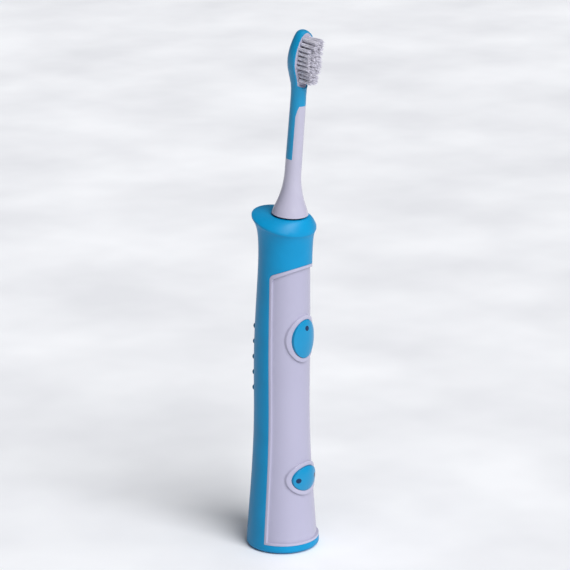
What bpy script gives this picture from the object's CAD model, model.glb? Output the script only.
import math
import random

import bmesh
import bpy
from mathutils import Matrix, Vector


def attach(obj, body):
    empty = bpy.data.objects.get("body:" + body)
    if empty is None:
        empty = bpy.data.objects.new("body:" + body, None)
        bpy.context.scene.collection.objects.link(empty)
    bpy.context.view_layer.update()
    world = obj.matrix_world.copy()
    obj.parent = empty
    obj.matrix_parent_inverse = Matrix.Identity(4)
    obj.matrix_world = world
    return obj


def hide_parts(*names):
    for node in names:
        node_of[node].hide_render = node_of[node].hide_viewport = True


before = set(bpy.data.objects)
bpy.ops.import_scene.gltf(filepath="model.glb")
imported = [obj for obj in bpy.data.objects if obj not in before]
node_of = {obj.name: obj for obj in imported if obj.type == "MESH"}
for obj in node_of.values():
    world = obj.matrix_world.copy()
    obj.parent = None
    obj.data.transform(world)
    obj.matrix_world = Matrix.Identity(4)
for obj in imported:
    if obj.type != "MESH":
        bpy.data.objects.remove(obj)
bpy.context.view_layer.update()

random.seed(7)

# The toothbrush stands on its foot and leans its head a little forward, to -Y. The lens looks
# down at it by 16.8 degrees from its left and front, from 1.26 m away, so lines hardly converge.
around = math.radians(-49.0)
above = math.radians(16.8)
away = Vector((math.sin(around) * math.cos(above), -math.cos(around) * math.cos(above), math.sin(above)))
aim = Vector((0.00063, -0.00072, 0.11975))
lens = bpy.data.cameras.new("camera")
lens.lens = 183.2
lens.sensor_width = 36.0
lens.clip_end = 20.0
camera = bpy.data.objects.new("camera", lens)
camera.location = aim + away * 1.261
camera.rotation_euler = (-away).to_track_quat("-Z", "Y").to_euler()
bpy.context.scene.collection.objects.link(camera)
bpy.context.scene.camera = camera
bpy.context.scene.view_settings.view_transform = "Standard"


def linear(code):
    """An sRGB hex colour as the linear RGBA that the shader mixes."""
    parts = [int(code[i:i + 2], 16) / 255 for i in (0, 2, 4)]
    return tuple(p / 12.92 if p <= 0.04045 else ((p + 0.055) / 1.055) ** 2.4 for p in parts) + (1.0,)


# Table and studio: a smooth pale laminate top under an even pale room, with one wide soft light
# in front and above, so the front is bright and the left rear falls dim.
room = bpy.data.worlds.new("pale_room")
room.use_nodes = True
room.node_tree.nodes["Background"].inputs["Color"].default_value = linear("f3f5fa")
room.node_tree.nodes["Background"].inputs["Strength"].default_value = 0.2
bpy.context.scene.world = room


def soft_light(name, side, height, strength, spread):
    """A far, wide lamp: side and height in degrees, spread the width of its disc in degrees."""
    lamp = bpy.data.lights.new(name, "SUN")
    lamp.energy = strength
    lamp.angle = math.radians(spread)
    holder = bpy.data.objects.new(name, lamp)
    turn, lift = math.radians(side), math.radians(height)
    place = Vector((math.sin(turn) * math.cos(lift), -math.cos(turn) * math.cos(lift), math.sin(lift)))
    holder.location = place * 2
    holder.rotation_euler = (-place).to_track_quat("-Z", "Y").to_euler()
    bpy.context.scene.collection.objects.link(holder)


soft_light("front_light", -15.0, 42.0, 3.55, 40.0)
soft_light("top_light", 40.0, 70.0, 0.5, 60.0)


def add_node(material, kind, links={}, **settings):
    """Adds a shader node; links maps its inputs to values or to other nodes' outputs."""
    tree = material.node_tree
    item = tree.nodes.new(kind)
    for key, value in settings.items():
        setattr(item, key, value)
    for key, value in links.items():
        if isinstance(value, bpy.types.NodeSocket):
            tree.links.new(value, item.inputs[key])
        else:
            item.inputs[key].default_value = value
    return item


def moulded(name, light, dark, rough, grain_mm, depth_mm, cloud_mm=14.0, worn=None, **shader):
    """Moulded stock: a faint cloud in its colour, a fine grain, and gloss that varies a little;
    worn is a paler colour for its outer edges, where hands and the tool's parting have rubbed it."""
    material = bpy.data.materials.new(name)
    material.use_nodes = True
    tree = material.node_tree
    principled = tree.nodes["Principled BSDF"]
    principled.inputs["IOR"].default_value = 1.5
    for key, value in shader.items():
        principled.inputs[key.replace("_", " ")].default_value = value
    place = add_node(material, "ShaderNodeTexCoord").outputs["Object"]
    cloud = add_node(material, "ShaderNodeTexNoise", {"Vector": place, "Scale": 1000 / cloud_mm,
                     "Detail": 3.0})
    tint = add_node(material, "ShaderNodeValToRGB", {"Fac": cloud.outputs["Fac"]})
    tint.color_ramp.elements[0].position = 0.3
    tint.color_ramp.elements[0].color = linear(dark)
    tint.color_ramp.elements[1].position = 0.7
    tint.color_ramp.elements[1].color = linear(light)
    colour = tint.outputs["Color"]
    if worn:
        shape = add_node(material, "ShaderNodeNewGeometry")
        edge = add_node(material, "ShaderNodeMapRange", {"Value": shape.outputs["Pointiness"],
                        "From Min": 0.52, "From Max": 0.60, "To Min": 0.0, "To Max": 0.3})
        blend = add_node(material, "ShaderNodeMix", {"Factor": edge.outputs["Result"], 6: colour,
                         7: linear(worn)}, data_type="RGBA")
        colour = blend.outputs[2]
    grain = add_node(material, "ShaderNodeTexNoise", {"Vector": place, "Scale": 1000 / grain_mm,
                     "Detail": 2.0})
    spread = add_node(material, "ShaderNodeMapRange", {"Value": cloud.outputs["Fac"], "From Min": 0.3,
                      "From Max": 0.7, "To Min": rough - 0.04, "To Max": rough + 0.04})
    relief = add_node(material, "ShaderNodeBump", {"Height": grain.outputs["Fac"], "Strength": 0.3,
                      "Distance": depth_mm / 1000})
    tree.links.new(colour, principled.inputs["Base Color"])
    tree.links.new(spread.outputs["Result"], principled.inputs["Roughness"])
    tree.links.new(relief.outputs["Normal"], principled.inputs["Normal"])
    return material


def cover(material, *names):
    """Puts a material on CAD pieces, in place of their plain ones."""
    for name in names:
        slots = node_of[name].data.materials
        slots.clear()
        slots.append(material)


bpy.ops.object.select_all(action="DESELECT")
bpy.ops.mesh.primitive_plane_add(size=8.0, location=(0, 0, 0))
table = bpy.context.active_object
table.name = "table_top"
table.data.materials.append(moulded("white_laminate", "f3f4f7", "e4e5e9", 0.6, 1.2, 0.01, 90.0))

# Handle shell: ABS moulded in light blue over a spark-eroded tool, which leaves a fine satin grain
# that blurs highlights without hiding them. Its base cap is the same stock.
blue_abs = moulded("satin_blue_abs", "0089bd", "0082b4", 0.42, 0.35, 0.02, Specular_IOR_Level=0.22)


def softened(name, body, material, edge_mm, steps=2, sharper=35.0):
    """A copy of a CAD piece whose edges are rounded as a moulding's are; it stands for that piece."""
    source = node_of[name]
    piece = bpy.data.objects.new(name + "_moulding", source.data.copy())
    bpy.context.scene.collection.objects.link(piece)
    bpy.ops.object.select_all(action="DESELECT")
    bpy.context.view_layer.objects.active = piece
    piece.select_set(True)
    if piece.data.has_custom_normals:
        bpy.ops.mesh.customdata_custom_splitnormals_clear()
    bpy.ops.object.mode_set(mode="EDIT")
    bpy.ops.mesh.select_all(action="SELECT")
    bpy.ops.mesh.remove_doubles(threshold=0.000002)
    bpy.ops.object.mode_set(mode="OBJECT")
    rounding = piece.modifiers.new("edge_round", "BEVEL")
    rounding.width = edge_mm / 1000
    rounding.segments = steps
    rounding.limit_method = "ANGLE"
    rounding.angle_limit = math.radians(sharper)
    rounding.use_clamp_overlap = True
    bpy.ops.object.modifier_apply(modifier=rounding.name)
    bpy.ops.object.shade_smooth_by_angle(angle=math.radians(40))
    piece.data.materials.clear()
    piece.data.materials.append(material)
    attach(piece, body)
    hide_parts(name)


softened("rear_housing", "handle", blue_abs, 0.35, 3, 20.0)
cover(blue_abs, "base_cap")

# Grip pips on its back: soft elastomer moulded into pockets, duller and darker than the shell.
cover(moulded("blue_grey_elastomer", "1f5f80", "195674", 0.7, 0.25, 0.03), "grip_pips")

# Front panel: a separate gloss ABS moulding, cool white, snapped into the shell's recess. Its
# border and the rings round its buttons stand a millimetre above its face.
white_abs = moulded("gloss_white_abs", "a5a3ba", "a2a0b7", 0.2, 0.6, 0.004, 30.0, "cfcde0")
softened("front_panel", "handle", white_abs, 0.3)

# Buttons: silicone keys with a fine satin skin, domed, and dark clear lenses over their lamps.
blue_silicone = moulded("satin_blue_silicone", "0085b6", "007fae", 0.32, 0.2, 0.012, Specular_IOR_Level=0.4)
softened("power_button", "power_key", blue_silicone, 0.3, 3)
softened("mode_button", "mode_key", blue_silicone, 0.3, 3)
navy_acrylic = moulded("navy_acrylic", "002c56", "00264c", 0.15, 0.8, 0.002, Specular_IOR_Level=0.3)
cover(navy_acrylic, "power_light_lens", "mode_light_lenses")

# Brush head: a white core of gloss acetal, and a blue elastomer skin moulded over its neck and back.
white_acetal = moulded("gloss_white_acetal", "b0adc0", "acaabd", 0.18, 0.5, 0.003, 20.0)
cover(white_acetal, "head_core", "head_base_ring")
blue_elastomer = moulded("satin_blue_elastomer", "0088b8", "0081af", 0.36, 0.22, 0.012,
                         Specular_IOR_Level=0.4)
cover(blue_elastomer, "head_overmould")

# Bristles: nylon filaments folded into the head's holes in tufts, trimmed by machine and then
# splayed a little by use. Each is 0.17 mm thick; one of three tufts is copied to each hole.
lean = math.radians(5.25)
along_shaft = Vector((0, -math.sin(lean), math.cos(lean)))
outward = Vector((0, -math.cos(lean), -math.sin(lean)))
sideways = Vector((1, 0, 0))
filament_thickness = 0.00017
model_length = 0.010
tip_stray = 0.018


def filament(thick, long):
    """One filament along +Z with its foot at the origin, in four lengths, its tip rounded off."""
    bpy.ops.object.select_all(action="DESELECT")
    bpy.ops.mesh.primitive_cylinder_add(vertices=5, radius=thick / 2, depth=long, end_fill_type="TRIFAN",
                                        location=(0, 0, long / 2))
    bpy.ops.object.mode_set(mode="EDIT")
    for part in (0.3, 0.55, 0.8, 0.97):
        bpy.ops.mesh.select_all(action="SELECT")
        bpy.ops.mesh.bisect(plane_co=(0, 0, long * part), plane_no=(0, 0, 1))
    bpy.ops.object.mode_set(mode="OBJECT")
    piece = bpy.context.active_object
    piece.data.transform(Matrix.Translation((0, 0, long / 2)))
    piece.location = (0, 0, 0)
    for vertex in piece.data.vertices:
        if vertex.co.z > long * 0.99:
            vertex.co.x *= 0.5
            vertex.co.y *= 0.5
    return piece


def tuft(long, radius, spread, seed):
    """A bundle of filaments that starts tight and opens towards its tips."""
    chance = random.Random(seed)
    model = filament(filament_thickness, long)
    strands = []
    rings = [(0, 1), (0.36, 6), (0.68, 11), (0.95, 16)]
    for reach, count in rings:
        for k in range(count):
            turn = 2 * math.pi * (k + chance.uniform(-0.25, 0.25)) / count
            foot = Vector((math.cos(turn), math.sin(turn), 0)) * radius * reach
            stray = 3.0 if chance.random() < 0.05 else 1.0
            drift = Vector((chance.gauss(0, 1), chance.gauss(0, 1), 0)) * spread * 0.5 * stray
            drift += foot * (spread / radius) * 0.55
            shorten = chance.uniform(0.93, 1.0)
            strand = model.data.copy()
            for vertex in strand.vertices:
                part = vertex.co.z / long
                rise = Vector((vertex.co.x, vertex.co.y, vertex.co.z * shorten))
                vertex.co = rise + foot + drift * part ** 2
            strands.append(bpy.data.objects.new("strand", strand))
    bpy.ops.object.select_all(action="DESELECT")
    for strand in strands:
        bpy.context.scene.collection.objects.link(strand)
        strand.select_set(True)
    bpy.context.view_layer.objects.active = strands[0]
    bpy.ops.object.join()
    bpy.data.objects.remove(model)
    return bpy.context.active_object


def tuft_seats():
    """Foot and length of every tuft, read from the CAD piece that the bristles stand for."""
    shape = bmesh.new()
    shape.from_mesh(node_of["bristle_tufts"].data)
    bmesh.ops.remove_doubles(shape, verts=shape.verts, dist=0.000002)
    seats = []
    left = dict.fromkeys(shape.verts)
    while left:
        island = [left.popitem()[0]]
        for vertex in island:
            for edge in vertex.link_edges:
                other = edge.other_vert(vertex)
                if other in left:
                    del left[other]
                    island.append(other)
        reach = [vertex.co.dot(outward) for vertex in island]
        centre = sum((vertex.co for vertex in island), Vector()) / len(island)
        foot = centre + outward * (min(reach) - centre.dot(outward))
        seats.append((foot, max(reach) - min(reach)))
    shape.free()
    return sorted(seats, key=lambda seat: (round(seat[0].z, 4), round(seat[0].x, 4)))


seats = tuft_seats()
models = [tuft(model_length, 0.00066, 0.00042, seed) for seed in (3, 5, 8)]
frame_turn = Matrix((sideways, along_shaft, outward)).transposed().to_4x4()
tufts = []
for number, (foot, long) in enumerate(seats):
    twin = bpy.data.objects.new("tuft", models[number % 3].data.copy())
    spin = Matrix.Rotation(random.uniform(0, 6.28), 4, "Z")
    tip_lean = (Matrix.Rotation(random.gauss(0, tip_stray), 4, "X")
                @ Matrix.Rotation(random.gauss(0, tip_stray), 4, "Y"))
    stretch = Matrix.Diagonal((1, 1, long / model_length * random.uniform(0.92, 1.03), 1))
    twin.data.transform(Matrix.Translation(foot) @ frame_turn @ tip_lean @ stretch @ spin)
    bpy.context.scene.collection.objects.link(twin)
    tufts.append(twin)
bpy.ops.object.select_all(action="DESELECT")
for twin in tufts:
    twin.select_set(True)
bpy.context.view_layer.objects.active = tufts[0]
bpy.ops.object.join()
bristles = bpy.context.active_object
bristles.name = "bristles"
bpy.ops.object.shade_smooth()
for model in models:
    bpy.data.objects.remove(model)

nylon = moulded("clear_white_nylon", "e2e0ea", "d2d0dc", 0.35, 0.3, 0.002, 1.6)
bristles.data.materials.append(nylon)
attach(bristles, "brush_head")
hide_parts("bristle_tufts")

# Shaft, screws, clip, straps and magnet carrier: stainless steel, drawn or turned, so the light
# breaks along fine lines round them.
def turned_metal(name, light, dark, rough, line_mm):
    """Bare metal with fine tool lines across its height, paler and darker by turns."""
    material = bpy.data.materials.new(name)
    material.use_nodes = True
    principled = material.node_tree.nodes["Principled BSDF"]
    principled.inputs["Metallic"].default_value = 1.0
    principled.inputs["Roughness"].default_value = rough
    place = add_node(material, "ShaderNodeTexCoord").outputs["Object"]
    lines = add_node(material, "ShaderNodeTexWave", {"Vector": place, "Scale": 1000 / line_mm / 6.3,
                     "Distortion": 0.6, "Detail": 2.0}, bands_direction="Z")
    tint = add_node(material, "ShaderNodeMix", {"Factor": lines.outputs["Fac"], 6: linear(dark),
                    7: linear(light)}, data_type="RGBA")
    relief = add_node(material, "ShaderNodeBump", {"Height": lines.outputs["Fac"], "Strength": 0.25,
                      "Distance": line_mm / 12000})
    material.node_tree.links.new(tint.outputs[2], principled.inputs["Base Color"])
    material.node_tree.links.new(relief.outputs["Normal"], principled.inputs["Normal"])
    return material


cover(turned_metal("turned_stainless_steel", "c9cacc", "a4a6a9", 0.28, 0.12),
      "drive_shaft", "magnet_carrier", "board_screws", "battery_tabs", "torsion_spring", "head_clip")

# Plain bushes: sintered bronze, dull and brown gold, with open pores that hold their oil.
cover(turned_metal("sintered_bronze", "b98a4a", "8f6631", 0.45, 0.3), "shaft_bush_lower", "shaft_bush_upper")

# Rotor magnets: pressed neodymium plated with nickel, bright with a faint warm cast.
cover(turned_metal("nickel_plate", "d8d6d0", "c2c0ba", 0.16, 0.5), "rotor_magnets")

# Stator core: punched steel sheets in a stack, whose edges show as fine dark lines.
cover(turned_metal("laminated_steel", "8b8c90", "55565a", 0.4, 0.5), "stator_core")

# Windings and leads: enamelled copper wire, 0.3 mm thick, in close turns under clear red varnish.
cover(turned_metal("enamelled_copper", "c8743a", "8a4420", 0.25, 0.3),
      "stator_coil", "charging_coil", "charging_leads")

# Carrier, drive frame and bobbin: natural white nylon, moulded, matt with a slight cream cast.
cover(moulded("natural_nylon", "dedbd0", "d3d0c4", 0.5, 0.3, 0.01, 10.0),
      "inner_chassis", "drive_frame", "coil_bobbin")

# Seals, pad and key boots: grey silicone rubber, soft and dull.
cover(moulded("grey_silicone", "77787a", "6c6d70", 0.65, 0.25, 0.012),
      "base_seal_ring", "shaft_seal", "battery_pad", "power_button_seal", "mode_button_seal")

# Switches and controller: black glass-filled nylon and moulded epoxy, finely speckled.
cover(moulded("black_epoxy", "202124", "17181a", 0.5, 0.15, 0.01, 3.0),
      "power_switch_body", "power_switch_plunger", "mode_switch_body", "mode_switch_plunger",
      "controller_chip")

# Lamps: small surface-mounted diodes under a milky yellow resin.
cover(moulded("milky_resin", "e9e3bf", "dcd5ab", 0.3, 0.2, 0.004, 2.0), "indicator_leds")

# Circuit board: glass-epoxy laminate under green solder mask, its cloth weave just showing.
cover(moulded("green_solder_mask", "1d6b41", "175836", 0.35, 0.5, 0.01, 4.0), "circuit_board")

# Cell: steel can in a shrunk sleeve of green film, glossy and a little uneven.
cover(moulded("green_shrink_film", "2f8f55", "287f4a", 0.25, 6.0, 0.05, 18.0), "battery_cell")
